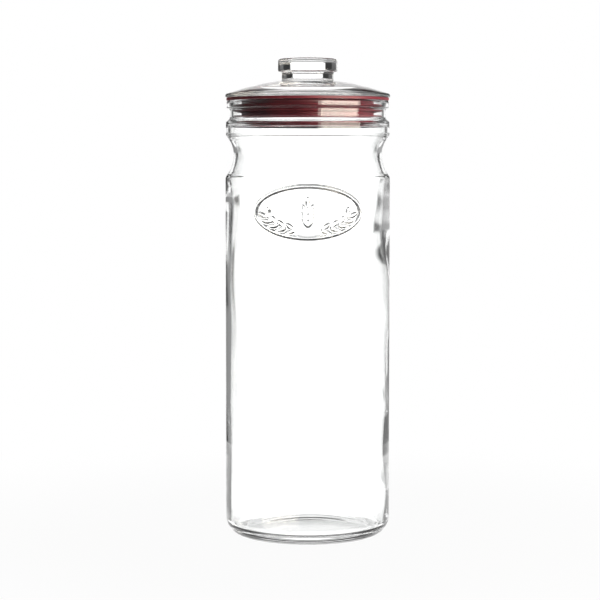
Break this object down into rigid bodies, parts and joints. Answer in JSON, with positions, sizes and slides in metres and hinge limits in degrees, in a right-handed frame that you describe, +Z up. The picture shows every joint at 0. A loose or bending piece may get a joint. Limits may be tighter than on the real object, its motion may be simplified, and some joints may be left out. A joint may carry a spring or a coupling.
{
  "type": "pasta storage jar",
  "caption": "Tall round clear glass jar with a waisted neck and a push-top glass lid with knob, sealed by a red silicone ring; stores long dry pasta.",
  "frame": {"origin": "on the table, under the middle of the jar's foot", "axes": "+Z up along the jar's axis, the embossed front faces -Y, +X to the right seen from the front"},
  "size_m": [0.11, 0.1108, 0.32],
  "materials": {
    "jar_glass": "clear blown glass, polished",
    "lid_glass": "clear pressed glass, polished",
    "seal_silicone": "deep red silicone, smooth"
  },
  "bodies": {
    "jar": {"glass_jar": "jar_glass"},
    "seal": {"seal_ring": "seal_silicone"},
    "lid": {"glass_lid": "lid_glass"}
  },
  "joints": [
    {"name": "lid_lift", "type": "slide", "parent": "jar", "child": "seal", "axis": [0, 0, 1], "range_m": [0, 0.035]},
    {"name": "lid_turn", "type": "hinge", "parent": "seal", "child": "lid", "pos_m": [0, 0, 0.2924], "axis": [0, 0, 1], "continuous": true}
  ]
}
